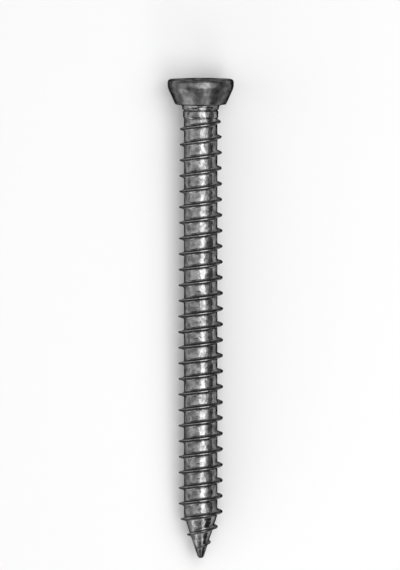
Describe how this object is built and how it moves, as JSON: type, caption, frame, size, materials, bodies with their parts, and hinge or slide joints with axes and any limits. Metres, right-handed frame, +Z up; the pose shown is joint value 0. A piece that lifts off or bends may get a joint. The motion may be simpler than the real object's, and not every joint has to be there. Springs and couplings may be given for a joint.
{
  "type": "frame screw",
  "caption": "Countersunk masonry frame screw with a six-lobe recess and a coarse thread from neck to point, lying on its side.",
  "frame": {"origin": "on the surface that the screw lies on, under the middle of its length and width", "axes": "+Y from the point towards the head, +Z up, +X to the right seen from above with the head at the top"},
  "size_m": [0.0114, 0.0822, 0.0113],
  "materials": {
    "zinc_plated_steel": "bright zinc plate over a forged and rolled surface, satin to glossy and a little mottled"
  },
  "bodies": {
    "root": {"screw": "zinc_plated_steel"}
  },
  "joints": []
}
